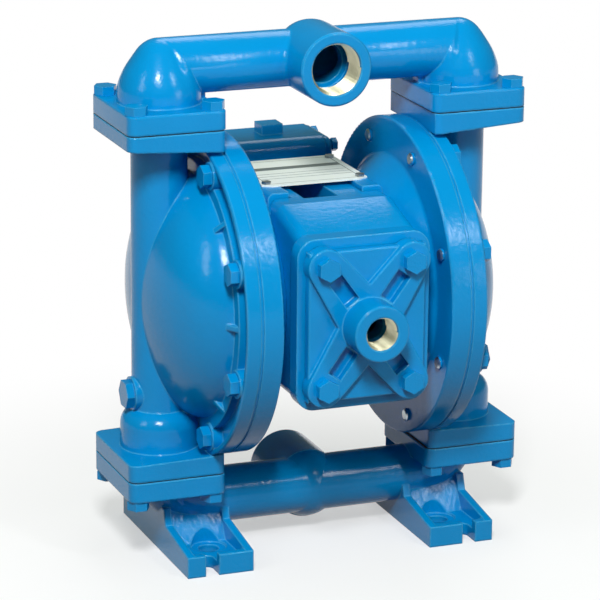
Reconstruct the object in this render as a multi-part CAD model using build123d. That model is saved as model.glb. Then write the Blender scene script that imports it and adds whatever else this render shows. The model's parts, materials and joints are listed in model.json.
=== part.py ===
from build123d import *
from math import cos, radians, sin, sqrt
import os

# Air operated double diaphragm pump, one-inch metal size.
# +Z is up, -Y is the front with the discharge port and the air inlet, X runs from chamber to chamber.
# The origin is on the floor, midway between the two fluid columns. All sizes are in millimetres.

# ---------------------------------------------------------------- driving sizes
# overall layout
column_pitch = 203.2          # between the axes of the two fluid columns
suction_z = 30.3              # height of the suction tube's axis
elbow_bend = 27.2             # radius of the suction elbows, up to the lower joint
lower_ring_gap = 6.4          # from the lower joint up to the chamber rings
upper_ring_gap = 10.5         # from the rings up to the upper joint
discharge_rise = 34.5         # from the upper joint to the discharge tube's axis

# fits and clearances
running_gap = 0.05            # radial clearance of a shaft in its bush
ball_gap = 0.1                # between a check ball and its seat
lift_gap = 0.3                # between a lifted ball and its stop
joint_gap = 0.3               # between separate bodies that only pass each other
bolt_clearance = 0.4          # radial clearance of a bolt in a plain hole
spigot_gap = 0.1              # radial clearance of a ring in its recess
over = 1.0                    # how far a cut runs past a face, or a solid into its neighbour

# fluid columns and their joint flanges
column_r = 18.0
passage_r = 13.0              # bore of the tubes and columns
flange_x = 64.4
flange_y = 77.2
flange_corner = 6.0
gasket_t = 0.8                # joint gaskets, between every pair of castings
gasket_inset = 0.7            # gaskets stop short of the flange edge
flange_bolt_dx = 25.0
flange_bolt_dy = 31.0

# discharge manifold
discharge_flange_t = 12.2
discharge_tube_r = 18.2
neck_r = 26.5
neck_straight = 18.0          # height of the straight part of the neck above its flange
port_boss_r = 23.5
port_boss_reach = 44.4        # from the tube axis to the mouth of the port
port_thread_r = 16.7          # one-inch pipe thread
port_depth = 24.0
port_chamfer = 1.0
port_blend = 3.0              # fillet between the port and the tube
flange_edge_r = 1.2
discharge_cavity_drop = 8.0   # from the tube's axis to the middle of the dome over the ball
web_inset = 3.0               # the web under the elbow stops short of the flange's end
gusset_t = 9.0

# suction manifold and feet
suction_flange_t = 13.2
suction_tube_r = 18.3
suction_boss_r = 23.0
foot_inner_x = 61.0
foot_width = 44.0
foot_length = 130.0
foot_wall = 5.0
foot_pan_t = 8.0
toe_height = 13.7
foot_shoulder_y = 21.0        # where the side walls meet the elbow
foot_shoulder_z = 20.2
foot_hole_r = 6.5
foot_hole_x = 80.0
foot_hole_y = 33.0
foot_seat_r = 11.5            # spot face round each foot hole
foot_seat_depth = 1.5
toe_slot_w = 9.0
toe_slot_x = 88.5
toe_slot_depth = 16.0

# outer chambers
ring_r = 103.7                # outside radius of both chamber rings
diaphragm_t = 1.6             # clamped rim of the diaphragm
parting_x = 70.0              # middle of the clamped rim
outer_ring_t = 9.2
bolt_circle_inset = 11.5      # from the ring's edge in to the circle of its bolts
chamber_bolt_count = 8
ring_pad_r = 9.0
ring_pad_rise = 1.2
ring_edge_r = 1.0
outer_lip = 3.3               # width of the ring's outer lip
channel_width = 12.4          # channel between the two lips of the ring
channel_depth = 5.8
dome_x = 75.4                 # plane of the dome's largest circle
dome_depth = 41.6
dome_inset = 23.3             # from the ring's edge in to the dome
chamber_wall = 5.0
top_flange_t_inner = 13.4
top_flange_t_outer = 9.4
bottom_flange_t_inner = 12.5
bottom_flange_t_outer = 11.0
bulb_r = 25.4                 # round ball housing above the lower flange
bulb_height = 38.1            # above the lower joint face of the chamber
bulb_shoulder_r = 12.0
dome_rib_t = 3.5
dome_rib_length = 14.0
dome_rib_height = 18.0
plug_height = 47.1            # above the lower joint face of the chamber
plug_boss_r = 11.0
plug_boss_reach = 19.5        # from the column axis
plug_thread_r = 6.5
plug_head_r = 9.5
plug_head_t = 5.0
plug_shank = 8.0

# inner chambers
inner_ring_t = 13.2
bell_x = 24.0                 # flat back against the centre body
bell_back_r = 50.0
bell_mid_x = 43.0
bell_mid_share = 0.576        # of the way out from the back to the rim
bell_inset = 24.2             # from the ring's edge in to the bell
bell_waist_r = 60.0           # soft bend of the bell
dish_floor_x = 40.0
dish_floor_r = 50.0
dish_inset = 27.7             # from the ring's edge in to the dished floor
lug_x0 = 25.0
lug_width = 14.0
lug_front_y = (-28.0, 27.0)   # front faces of the two lugs that carry the name plate
lug_length = 24.0
lug_rise = 68.4               # top of the lugs above the rod's axis
lug_edge_r = 4.0

# centre body and air inlet cover
body_half = 24.0
body_front_y = -93.0
front_flange_t = 12.0
front_flange_w = 88.0
front_flange_h = 110.0
front_flange_corner = 12.0
body_shoulder_y = -45.0
body_top_rise = 65.4          # above the rod's axis
body_bottom_drop = 53.6       # below the rod's axis
saddle_half = 40.0            # half width of the body in front of the inner chambers
saddle_back_y = -30.0
saddle_edge_r = 7.0
recess_x = (-17.0, 6.0)       # open pocket in the top, partly under the name plate
recess_front_y = -34.0
recess_back_wall = 24.0
recess_floor = 14.0           # above the cavity of the pilot valve
body_rear_y = 78.0
rear_flange_t = 10.0
rear_flange_w = 84.0
rear_flange_h = 102.0
cover_bolt_dx = 28.5
cover_bolt_dz = 38.8
cover_plate_t = 6.0
cover_half_w = 38.8
cover_half_h = 48.0
cover_lobe_r = 12.0
cover_arm_rise = 4.0
cover_pocket_w = 10.0
cover_boss_r = 18.0
cover_boss_reach = 31.0       # from the cover's back to the mouth of the air inlet
inlet_thread_r = 10.65        # half-inch pipe thread
inlet_depth = 20.0

# pilot valve
pilot_y = -36.0
pilot_half = 20.0
pilot_body_w = 30.0
pilot_cavity_h = 48.0
pilot_spool_r = 5.0
plunger_r = 4.0
bush_wall = 3.0
pilot_travel_ratio = 1.0 / 3.0

# diaphragm rod, plates and stroke
stroke = 12.0                 # each way from the middle
rod_r = 9.5
rod_end_r = 8.0
bush_length = 18.0
rod_seal_t = 4.0
diaphragm_centre_t = 3.0
fold_rise = 7.5               # crest of the rolling fold above the middle of the rim
fold_t = 2.8
fold_gap = 0.5                # between the fold and the edge of the plates
clamp_step = 1.0              # the fold starts this far inside the clamped rim
plate_r = 45.0
inner_plate_t = 7.0
outer_plate_t = 8.0
hub_r = 15.0
hub_t = 9.0

# check valves
ball_r = 16.0
ball_lift = 7.0
ball_centre_rise = 6.0        # ball centre above the top of its seat
ball_chamber_r = 20.2
seat_r = 22.0
seat_bore_r = 11.5
seat_depth = 5.6              # recess under each seat
stop_rib_t = 5.0
stop_rib_h = 5.0

# main air valve at the rear
valve_y = 105.0
valve_rise = 49.4             # above the rod's axis
valve_ring_gap = 0.8          # between the cap screws' heads and the ends of the ring bolts
valve_square = 50.0
valve_corner = 9.0
valve_tab_x = (4.0, 19.0)     # cast tab on top of the valve
valve_tab_rise = 7.0
valve_tab_length = 14.0
valve_base_t = 10.0
valve_base_drop = 3.0         # middle of the base below the rod's axis
valve_bolt_dx = 32.0
valve_bolt_drop = 37.6        # lower pair of bolts below the rod's axis
valve_bolt_rise = 8.4         # upper pair above it
sleeve_r = 17.0
sleeve_bore_r = 12.0
sleeve_port_pitch = 22.0
sleeve_port_r = 2.0
sleeve_groove_w = 6.0
sleeve_groove_depth = 2.0
spool_end_gap = 3.0           # between the spool at the end of its travel and a cap
spool_travel = 8.0
spool_neck_r = 7.0
spool_neck_length = 16.0
spool_land = 12.0             # middle land
spool_chamfer = 0.8
cap_t = 6.0
cap_edge_r = 4.5
cap_screw_pitch = 36.0
exhaust_drop = 15.6           # below the rod's axis
exhaust_boss_r = 21.0
exhaust_boss_reach = 10.0
muffler_r = 23.0
muffler_length = 62.0
muffler_thread_r = 13.0
muffler_thread_length = 12.0

# name plate
plate_half_w = 36.0
plate_front_y = -12.5
plate_depth = 65.0
plate_t = 1.0
plate_chamfer = 7.0
plate_screw_inset = 6.0

# fasteners
bolt_r = 4.0
bolt_head_r = 7.4             # corner radius of the hexagon
bolt_head_t = 5.6
bolt_tip = 2.4                # ring bolts stand out of the inner ring
bolt_tip_chamfer = 1.0
tapped_floor = 1.0            # left below the blind flange bolt holes
thread_end_gap = 0.5          # between a bolt's end and the bottom of its hole
small_bolt_r = 2.5
small_head_r = 4.6
small_head_t = 3.5
cap_screw_length = 12.0
screw_circle = 40.0           # screws that hold the inner chambers to the centre body
chamber_screw_length = 26.0
plate_screw_r = 1.6
plate_screw_head_r = 3.2
plate_screw_head_t = 1.6
plate_screw_length = 8.0

# ---------------------------------------------------------------- sizes that follow
column_x = column_pitch / 2
lower_joint_z = suction_z + elbow_bend            # suction manifold meets the chambers
rod_z = lower_joint_z + lower_ring_gap + ring_r   # height of the diaphragm rod
upper_joint_z = rod_z + ring_r + upper_ring_gap   # discharge manifold meets the chambers
discharge_z = upper_joint_z + discharge_rise
top_of_chamber_z = upper_joint_z - gasket_t / 2
manifold_face_z = upper_joint_z + gasket_t / 2
bottom_of_chamber_z = lower_joint_z + gasket_t / 2
suction_face_z = lower_joint_z - gasket_t / 2
outer_face_x = parting_x + diaphragm_t / 2        # diaphragm side of the outer chamber
inner_face_x = parting_x - diaphragm_t / 2        # diaphragm side of the inner chamber
ring_outer_x = outer_face_x + outer_ring_t
ring_inner_x = inner_face_x - inner_ring_t
pad_x = ring_outer_x + ring_pad_rise
chamber_bolt_circle = ring_r - bolt_circle_inset
channel_outer_r = ring_r - outer_lip
channel_inner_r = channel_outer_r - channel_width
dome_r = ring_r - dome_inset
bell_rim_r = ring_r - bell_inset
bell_mid_r = bell_back_r + (bell_rim_r - bell_back_r) * bell_mid_share
dish_rim_r = ring_r - dish_inset
bulb_top_z = bottom_of_chamber_z + bulb_height
plug_z = bottom_of_chamber_z + plug_height
lug_top_z = rod_z + lug_rise
body_top_z = rod_z + body_top_rise
body_bottom_z = rod_z - body_bottom_drop
cover_back_y = body_front_y - gasket_t
cover_plate_y = cover_back_y - cover_plate_t
cover_arm_y = cover_plate_y - cover_arm_rise
inlet_mouth_y = cover_back_y - cover_boss_reach
valve_face_y = body_rear_y + gasket_t
valve_z = rod_z + valve_rise
exhaust_z = rod_z - exhaust_drop
valve_half = ring_inner_x - bolt_tip - cap_t - small_head_t - valve_ring_gap
spool_half = valve_half - spool_travel - spool_end_gap
pilot_travel = stroke * pilot_travel_ratio
pilot_spool_half = body_half - pilot_travel
valve_base_y = valve_face_y + valve_base_t
discharge_ball_z = manifold_face_z + ball_centre_rise
suction_ball_z = bottom_of_chamber_z + ball_centre_rise
discharge_stop_z = discharge_ball_z + ball_r + ball_lift + lift_gap
suction_stop_z = suction_ball_z + ball_r + ball_lift + lift_gap
plate_seat_x = parting_x - diaphragm_centre_t / 2  # inner plate touches the diaphragm
plunger_tip_x = plate_seat_x - inner_plate_t - stroke + pilot_travel - joint_gap
rod_bush_r = rod_r + running_gap + bush_wall
plunger_bush_r = plunger_r + running_gap + bush_wall
plate_screw_x = lug_x0 + lug_width / 2
plate_screw_rows = (plate_front_y + plate_screw_inset, plate_front_y + plate_depth - plate_screw_inset)
chamber_angles = [360 / chamber_bolt_count * (i + 0.5) for i in range(chamber_bolt_count)]

x_axis = Axis((0, 0, rod_z), (1, 0, 0))


# ---------------------------------------------------------------- helpers
def lathe(outline, axis):
    """Turn a closed face, drawn as x = station along the axis and y = radius, about the axis."""
    side = Vector(0, -1, 0) if abs(axis.direction.Y) < 0.5 else Vector(1, 0, 0)
    frame = Plane(origin=axis.position, x_dir=axis.direction, z_dir=side)
    return revolve(frame * outline, axis)


def turned(points, axis):
    """Turn a closed polygon of (station, radius) points about the axis."""
    return lathe(make_face(Polyline(*points, close=True)), axis)


def round_bar(radius, start, end, axis):
    """Cylinder along the axis between two stations."""
    return turned([(start, 0), (start, radius), (end, radius), (end, 0)], axis)


def tube_ring(outer, inner, start, end, axis):
    """Plain ring along the axis between two stations."""
    return turned([(start, inner), (start, outer), (end, outer), (end, inner)], axis)


def along_x(y, z):
    return Axis((0, y, z), (1, 0, 0))


def along_y(x, z):
    return Axis((x, 0, z), (0, 1, 0))


def along_z(x, y):
    return Axis((x, y, 0), (0, 0, 1))


def block(x0, x1, y0, y1, z0, z1):
    """Box between two corners."""
    size = (x1 - x0, y1 - y0, z1 - z0)
    return Pos((x0 + x1) / 2, (y0 + y1) / 2, (z0 + z1) / 2) * Box(*size)


def side_profile(points, x0, x1):
    """Extrude a (y, z) polygon along X between two stations."""
    outline = Plane.YZ.offset(x0) * make_face(Polyline(*points, close=True))
    return extrude(outline, x1 - x0)


def front_profile(points, y0, y1):
    """Extrude an (x, z) polygon along Y between two stations."""
    frame = Plane(origin=(0, y0, 0), x_dir=(1, 0, 0), z_dir=(0, -1, 0))
    return extrude(frame * make_face(Polyline(*points, close=True)), -(y1 - y0))


def front_plate(sketch, x, z, y0, y1):
    """Extrude a sketch, drawn as seen from the front and centred on (x, z), along Y."""
    frame = Plane(origin=(x, y0, z), x_dir=(1, 0, 0), z_dir=(0, -1, 0))
    return extrude(frame * sketch, -(y1 - y0))


def mirrored(solid):
    """The left-hand piece made from the right-hand one."""
    return mirror(solid, about=Plane.YZ)


def hex_bolt(length, shank=bolt_r, head=bolt_head_r, head_t=bolt_head_t):
    """Hexagon bolt standing on z = 0 with its head above and its shank below."""
    crown = extrude(RegularPolygon(head, 6), head_t) & Pos(0, 0, -head * 0.9 + head_t) * Sphere(head * 1.35)
    return crown + Pos(0, 0, -length / 2) * Cylinder(shank, length)


def group(solids):
    """Identical separate pieces kept in one node."""
    return Compound(children=[s for s in solids])


def flange_bolt_places(side):
    return [(side * column_x + sx * flange_bolt_dx, sy * flange_bolt_dy) for sx in (-1, 1) for sy in (-1, 1)]


def ring_bolt_places():
    """(y, z) of the bolts round a chamber ring."""
    return [(chamber_bolt_circle * cos(radians(a)), rod_z + chamber_bolt_circle * sin(radians(a)))
            for a in chamber_angles]


def cover_bolt_places():
    return [(sx * cover_bolt_dx, rod_z + sz * cover_bolt_dz) for sx in (-1, 1) for sz in (-1, 1)]


def valve_bolt_places():
    heights = (rod_z - valve_bolt_drop, rod_z + valve_bolt_rise)
    return [(sx * valve_bolt_dx, z) for sx in (-1, 1) for z in heights]


def flange_plate(side, z0, z1, inset=0.0):
    """Rectangular joint flange round a column."""
    outline = RectangleRounded(flange_x - 2 * inset, flange_y - 2 * inset, flange_corner - inset)
    return Pos(side * column_x, 0, z0) * extrude(outline, z1 - z0)


# ---------------------------------------------------------------- manifolds
def neck(side):
    """Upright elbow over a discharge flange: straight neck and a swelling shoulder up to the crown."""
    crown_z = discharge_z + discharge_tube_r
    base_z = manifold_face_z + discharge_flange_t - over
    shoulder_z = manifold_face_z + discharge_flange_t + neck_straight
    wall = Line((base_z, neck_r), (shoulder_z, neck_r))
    shoulder = EllipticalCenterArc((shoulder_z, 0), crown_z - shoulder_z, neck_r, start_angle=0, arc_size=90)
    closing = Polyline((crown_z, 0), (base_z, 0), (base_z, neck_r))
    return lathe(make_face([wall, shoulder, closing]), along_z(side * column_x, 0))


def port_boss(axis_z, radius, direction, back_y=0.0):
    """Threaded port standing out of a manifold tube, towards the front (-1) or the rear (+1).
    Its other end is half a ball about the point back_y."""
    axis = along_y(0, axis_z)
    barrel = round_bar(radius, 0, direction * port_boss_reach, axis)
    barrel = chamfer(barrel.edges().group_by(Axis.Y)[0 if direction < 0 else -1], port_chamfer)
    return barrel + Pos(0, back_y, axis_z) * Sphere(radius)


def port_bore(axis_z, direction):
    """Thread wall of a port and the way from it into the tube."""
    axis = along_y(0, axis_z)
    mouth = direction * port_boss_reach
    return (round_bar(port_thread_r, mouth - direction * port_depth, mouth + direction * over, axis)
            + round_bar(passage_r, 0, mouth, axis))


def discharge_manifold():
    body = round_bar(discharge_tube_r, -column_x, column_x, along_x(0, discharge_z))
    body += port_boss(discharge_z, port_boss_r, -1)
    body = fillet(body.edges().filter_by(GeomType.BSPLINE), port_blend)
    cavity = round_bar(passage_r, -column_x, column_x, along_x(0, discharge_z)) + port_bore(discharge_z, -1)
    stops = []
    for side in (-1, 1):
        flange_top = manifold_face_z + discharge_flange_t
        flange = flange_plate(side, manifold_face_z, flange_top)
        flange = fillet(flange.faces().sort_by(Axis.Z)[-1].edges(), flange_edge_r)
        body += flange + neck(side)
        web_end = side * (column_x - flange_x / 2 + web_inset)
        web_start = side * (column_x - neck_r + over)
        web = side_profile([(-gusset_t / 2, flange_top - over), (gusset_t / 2, flange_top - over),
                            (gusset_t / 2, discharge_z), (-gusset_t / 2, discharge_z)],
                           min(web_start, web_end), max(web_start, web_end))
        body += web
        axis = along_z(side * column_x, 0)
        dome_z = discharge_z - discharge_cavity_drop
        cavity += round_bar(ball_chamber_r, manifold_face_z - over, dome_z, axis)
        cavity += Pos(side * column_x, 0, dome_z) * Sphere(ball_chamber_r - running_gap)
        for x, y in flange_bolt_places(side):
            cavity += round_bar(bolt_r + bolt_clearance, manifold_face_z - over, flange_top + over,
                                along_z(x, y))
        stops.append(block(side * column_x - stop_rib_t / 2, side * column_x + stop_rib_t / 2,
                           -ball_chamber_r, ball_chamber_r, discharge_stop_z, discharge_stop_z + stop_rib_h))
    body -= cavity
    for rib in stops:
        body += rib
    return body


def foot(side):
    """Channel-shaped foot under one elbow: pan, side walls, slotted toes and a bolt seat."""
    x0, x1 = foot_inner_x, foot_inner_x + foot_width
    half = foot_length / 2
    wall = [(-half, 0), (-half, toe_height), (-foot_shoulder_y, foot_shoulder_z),
            (-suction_tube_r + 1, suction_z), (suction_tube_r - 1, suction_z),
            (foot_shoulder_y, foot_shoulder_z), (half, toe_height), (half, 0)]
    pan = fillet(block(x0, x1, -half, half, 0, toe_height).edges().filter_by(Axis.Z), 2.5)
    hollow = block(x0 + foot_wall, x1 - foot_wall, -half + foot_wall, half - foot_wall,
                   foot_pan_t, toe_height + 1)
    hollow = fillet(hollow.edges().filter_by(Axis.Z), 4.0)
    body = pan - hollow
    for start in (x0, x1 - foot_wall):
        body += side_profile(wall, start, start + foot_wall)
    saddle = side_profile([(-foot_shoulder_y - 6, foot_pan_t - 1), (-foot_shoulder_y + 8, suction_z),
                           (foot_shoulder_y - 8, suction_z), (foot_shoulder_y + 6, foot_pan_t - 1)],
                          x0 + 1, x1 - 1)
    body += saddle
    for end in (-1, 1):
        slot_end = end * (half - toe_slot_depth + toe_slot_w / 2)
        slot = block(toe_slot_x - toe_slot_w / 2, toe_slot_x + toe_slot_w / 2,
                     min(slot_end, end * (half + 1)), max(slot_end, end * (half + 1)), -1, toe_height + 1)
        slot += round_bar(toe_slot_w / 2, -1, toe_height + 1, along_z(toe_slot_x, slot_end))
        body -= slot
        axis = along_z(foot_hole_x, end * foot_hole_y)
        body -= round_bar(foot_hole_r, -1, suction_z, axis)
        body -= round_bar(foot_seat_r, foot_pan_t - foot_seat_depth, suction_z, axis)
    return body if side > 0 else mirrored(body)


def elbow(radius):
    """Quarter bend from the suction tube up to the joint flange."""
    start_x = column_x - elbow_bend
    section = Plane.YZ.offset(start_x) * (Pos(0, suction_z) * Circle(radius))
    return revolve(section, Axis((start_x, 0, lower_joint_z), (0, -1, 0)), 90)


def suction_manifold():
    start_x = column_x - elbow_bend
    body = round_bar(suction_tube_r, -start_x, start_x, along_x(0, suction_z))
    body += port_boss(suction_z, suction_boss_r, 1, back_y=suction_boss_r - suction_tube_r)
    cavity = round_bar(passage_r, -start_x, start_x, along_x(0, suction_z)) + port_bore(suction_z, 1)
    flange_bottom = suction_face_z - suction_flange_t
    for side in (-1, 1):
        bend = elbow(suction_tube_r) & block(0, column_pitch, -flange_y, flange_y, 0, suction_face_z)
        bore = elbow(passage_r)
        flange = flange_plate(side, flange_bottom, suction_face_z)
        flange = fillet(flange.faces().sort_by(Axis.Z)[0].edges(), flange_edge_r)
        body += (bend if side > 0 else mirrored(bend)) + flange + foot(side)
        cavity += bore if side > 0 else mirrored(bore)
        axis = along_z(side * column_x, 0)
        cavity += round_bar(seat_r + spigot_gap, suction_face_z - seat_depth, suction_face_z + 1, axis)
        for x, y in flange_bolt_places(side):
            cavity += round_bar(bolt_r + bolt_clearance, flange_bottom - 1, suction_face_z + 1, along_z(x, y))
    return body - cavity


# ---------------------------------------------------------------- chambers
def outer_dome(depth, radius, start_x):
    """Half ellipsoid about the rod axis, with a short cylinder down to the clamped rim."""
    crown = EllipticalCenterArc((dome_x, 0), depth, radius, start_angle=0, arc_size=90)
    closing = Polyline((dome_x, radius), (start_x, radius), (start_x, 0), (dome_x + depth, 0))
    return lathe(make_face([crown, closing]), x_axis)


def round_topped(radius, z0, z1, shoulder):
    """Upright cylinder about the right-hand column with a rounded shoulder."""
    skin = FilletPolyline((z0, radius), (z1, radius), (z1, 0), radius=shoulder)
    closing = Polyline((z1, 0), (z0, 0), (z0, radius))
    return lathe(make_face([skin, closing]), along_z(column_x, 0))


def sloped_flange(z_joint, t_inner, t_outer, direction):
    """Joint flange of a chamber, thicker towards the ring; direction is +1 for the upper joint."""
    x0, x1 = outer_face_x, column_x + flange_x / 2
    points = [(x0, z_joint), (x1, z_joint), (x1, z_joint - direction * t_outer),
              (x0, z_joint - direction * t_inner)]
    wedge = front_profile(points, -flange_y / 2, flange_y / 2)
    z_low = min(z_joint, z_joint - direction * t_inner)
    outline = flange_plate(1, z_low, z_low + t_inner)
    return wedge & outline


def outer_chamber():
    """Right-hand outer chamber: dome, ring, fluid column and both joint flanges in one casting."""
    ring = round_bar(ring_r, outer_face_x, ring_outer_x, x_axis)
    ring = fillet(ring.edges().group_by(Axis.X)[-1], ring_edge_r)
    ring -= tube_ring(channel_outer_r, channel_inner_r, ring_outer_x - channel_depth, ring_outer_x + 1, x_axis)
    for y, z in ring_bolt_places():
        ring += round_bar(ring_pad_r, outer_face_x + 1, pad_x, along_x(y, z))
    dome = outer_dome(dome_depth, dome_r, outer_face_x)
    column = round_bar(column_r, bottom_of_chamber_z, top_of_chamber_z, along_z(column_x, 0))
    bulb = round_topped(bulb_r, bottom_of_chamber_z + 1, bulb_top_z, bulb_shoulder_r)
    body = ring + dome + column + bulb
    body += sloped_flange(top_of_chamber_z, top_flange_t_inner, top_flange_t_outer, 1)
    body += sloped_flange(bottom_of_chamber_z, bottom_flange_t_inner, bottom_flange_t_outer, -1)
    body += round_bar(plug_boss_r, column_x, column_x + plug_boss_reach, along_x(0, plug_z))
    rib_foot_z, rib_top_z = rod_z + dome_r - dome_rib_height, rod_z + channel_inner_r - over
    rib = front_profile([(ring_outer_x - over, rib_foot_z), (ring_outer_x - over, rib_top_z),
                         (ring_outer_x, rib_top_z), (ring_outer_x + dome_rib_length, rib_foot_z)],
                        -dome_rib_t / 2, dome_rib_t / 2)
    for angle in (45, 90, 135, 225, 270, 315):
        body += rib.rotate(x_axis, angle)

    cavity = outer_dome(dome_depth - chamber_wall, dome_r - chamber_wall, outer_face_x - 1)
    column_axis = along_z(column_x, 0)
    cavity += round_bar(passage_r, bottom_of_chamber_z - 1, top_of_chamber_z + 1, column_axis)
    cavity += round_topped(ball_chamber_r, bottom_of_chamber_z - over, bulb_top_z - chamber_wall,
                           bulb_shoulder_r - 2)
    cavity += round_bar(seat_r + spigot_gap, top_of_chamber_z - seat_depth, top_of_chamber_z + 1, column_axis)
    cavity += round_bar(plug_thread_r + running_gap, column_x, column_x + plug_boss_reach + over,
                        along_x(0, plug_z))
    for y, z in ring_bolt_places():
        cavity += round_bar(bolt_r + bolt_clearance, outer_face_x - 1, pad_x + 1, along_x(y, z))
    for x, y in flange_bolt_places(1):
        upper_end = top_of_chamber_z - top_flange_t_outer + tapped_floor
        lower_end = bottom_of_chamber_z + bottom_flange_t_outer - tapped_floor
        cavity += round_bar(bolt_r + running_gap, upper_end, upper_joint_z, along_z(x, y))
        cavity += round_bar(bolt_r + running_gap, lower_joint_z, lower_end, along_z(x, y))
    stop = block(column_x - stop_rib_t / 2, column_x + stop_rib_t / 2, -ball_chamber_r, ball_chamber_r,
                 suction_stop_z, suction_stop_z + stop_rib_h)
    return body - cavity + stop


def bell(grow=0.0):
    """Outer form of the right-hand inner chamber: a flared bell that ends in the ring."""
    skin = FilletPolyline((bell_x, 0), (bell_x, bell_back_r + grow), (bell_mid_x, bell_mid_r + grow),
                          (ring_inner_x - grow, bell_rim_r), (ring_inner_x - grow, ring_r), (inner_face_x, ring_r),
                          radius=[3, bell_waist_r, 3, ring_edge_r])
    closing = Polyline((inner_face_x, ring_r), (inner_face_x, 0), (bell_x, 0))
    return lathe(make_face([skin, closing]), x_axis)


def inner_chamber():
    """Right-hand inner chamber: flared bell with a dished floor, a ring and two name plate lugs."""
    body = bell()
    lug_z0 = rod_z + bell_back_r * 0.6
    for y0 in lug_front_y:
        lug = block(lug_x0, lug_x0 + lug_width, y0, y0 + lug_length, lug_z0, lug_top_z)
        outer_edge = lug.edges().filter_by(Axis.Y).group_by(Axis.Z)[-1].sort_by(Axis.X)[-1]
        body += fillet(outer_edge, lug_edge_r)
    dish = FilletPolyline((inner_face_x + 1, dish_rim_r), (inner_face_x - 3, dish_rim_r),
                          (dish_floor_x, dish_floor_r), (dish_floor_x, 0), radius=[5, 10])
    dish_closing = Polyline((dish_floor_x, 0), (inner_face_x + 1, 0), (inner_face_x + 1, dish_rim_r))
    cavity = lathe(make_face([dish, dish_closing]), x_axis)
    cavity += round_bar(rod_bush_r + running_gap, bell_x - 1, dish_floor_x + 1, x_axis)
    cavity += round_bar(plunger_bush_r + running_gap, bell_x - 1, dish_floor_x + 1, along_x(pilot_y, rod_z))
    for y, z in ring_bolt_places():
        cavity += round_bar(bolt_r + running_gap, ring_inner_x - 1, inner_face_x + 1, along_x(y, z))
    for y, z in chamber_screw_places():
        cavity += round_bar(small_bolt_r + bolt_clearance, bell_x - 1, dish_floor_x + 1, along_x(y, z))
    for y in plate_screw_rows:
        cavity += round_bar(plate_screw_r + running_gap, lug_top_z - plate_screw_length - 1, lug_top_z + 1,
                            along_z(plate_screw_x, y))
    return body - cavity


def chamber_screw_places():
    """(y, z) of the four screws that hold an inner chamber to the centre body."""
    return [(screw_circle * cos(radians(a)), rod_z + screw_circle * sin(radians(a)))
            for a in (45, 135, 225, 315)]


# ---------------------------------------------------------------- centre section
def centre_body():
    """Casting between the two inner chambers, with the cavity for the pilot valve and the rod bore."""
    rear_plate_y = body_rear_y - rear_flange_t
    flange_back_y = body_front_y + front_flange_t
    profile = [(flange_back_y - 1, body_bottom_z), (flange_back_y - 1, rod_z + front_flange_h / 2),
               (flange_back_y, rod_z + front_flange_h / 2), (body_shoulder_y, body_top_z),
               (rear_plate_y + 1, body_top_z), (rear_plate_y + 1, body_bottom_z)]
    body = side_profile(profile, -body_half, body_half)
    saddle = side_profile([(flange_back_y, body_bottom_z), (flange_back_y, rod_z + front_flange_h / 2),
                           (body_shoulder_y, body_top_z), (saddle_back_y, body_top_z),
                           (saddle_back_y, body_bottom_z)], -saddle_half, saddle_half)
    flanks = saddle.faces().filter_by(Axis.X).edges()
    saddle = fillet(flanks.filter_by(lambda edge: edge.center().Y > flange_back_y + over), saddle_edge_r)
    body += saddle - bell(joint_gap) - mirrored(bell(joint_gap))
    front = RectangleRounded(front_flange_w, front_flange_h, front_flange_corner)
    body += front_plate(front, 0, rod_z, body_front_y, flange_back_y)
    rear = RectangleRounded(rear_flange_w, rear_flange_h, front_flange_corner)
    body += front_plate(rear, 0, rod_z, rear_plate_y, body_rear_y)
    cavity = block(-pilot_half - joint_gap, pilot_half + joint_gap, body_front_y - 1, pilot_y + pilot_body_w / 2,
                   rod_z - pilot_cavity_h / 2, rod_z + pilot_cavity_h / 2)
    cavity += round_bar(rod_bush_r + running_gap, -body_half - 1, body_half + 1, x_axis)
    cavity += round_bar(plunger_bush_r + running_gap, -body_half - 1, body_half + 1, along_x(pilot_y, rod_z))
    recess_z = rod_z + pilot_cavity_h / 2 + recess_floor
    recess_back_y = body_rear_y - recess_back_wall
    cavity += block(*recess_x, recess_front_y, recess_back_y, recess_z, body_top_z + over)
    for x, z in cover_bolt_places():
        cavity += round_bar(bolt_r + running_gap, body_front_y - 1, flange_back_y + 1, along_y(x, z))
    for x, z in valve_bolt_places():
        cavity += round_bar(bolt_r + running_gap, rear_plate_y - 1, body_rear_y + 1, along_y(x, z))
    thread_depth = chamber_screw_length - (dish_floor_x - bell_x)
    for side in (-1, 1):
        for y, z in chamber_screw_places():
            inner = side * (body_half - thread_depth - 1)
            cavity += round_bar(small_bolt_r + running_gap, inner, side * (body_half + 1), along_x(y, z))
    return body - cavity


def cover_outline(grow=0.0):
    """Cover plate outline: a rectangle with a round lobe at each bolt."""
    outline = Rectangle(2 * (cover_half_w + grow), 2 * (cover_half_h + grow))
    for x, z in cover_bolt_places():
        outline += Pos(x, z - rod_z) * Circle(cover_lobe_r + grow)
    return outline


def cover_arms():
    """Four arms from the central boss to the bolt lobes, as seen from the front."""
    arms = Circle(cover_boss_r)
    for x, z in cover_bolt_places():
        arms += make_hull((Pos(x, z - rod_z) * Circle(cover_lobe_r)).edges() + Circle(cover_boss_r).edges())
    return arms


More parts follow.
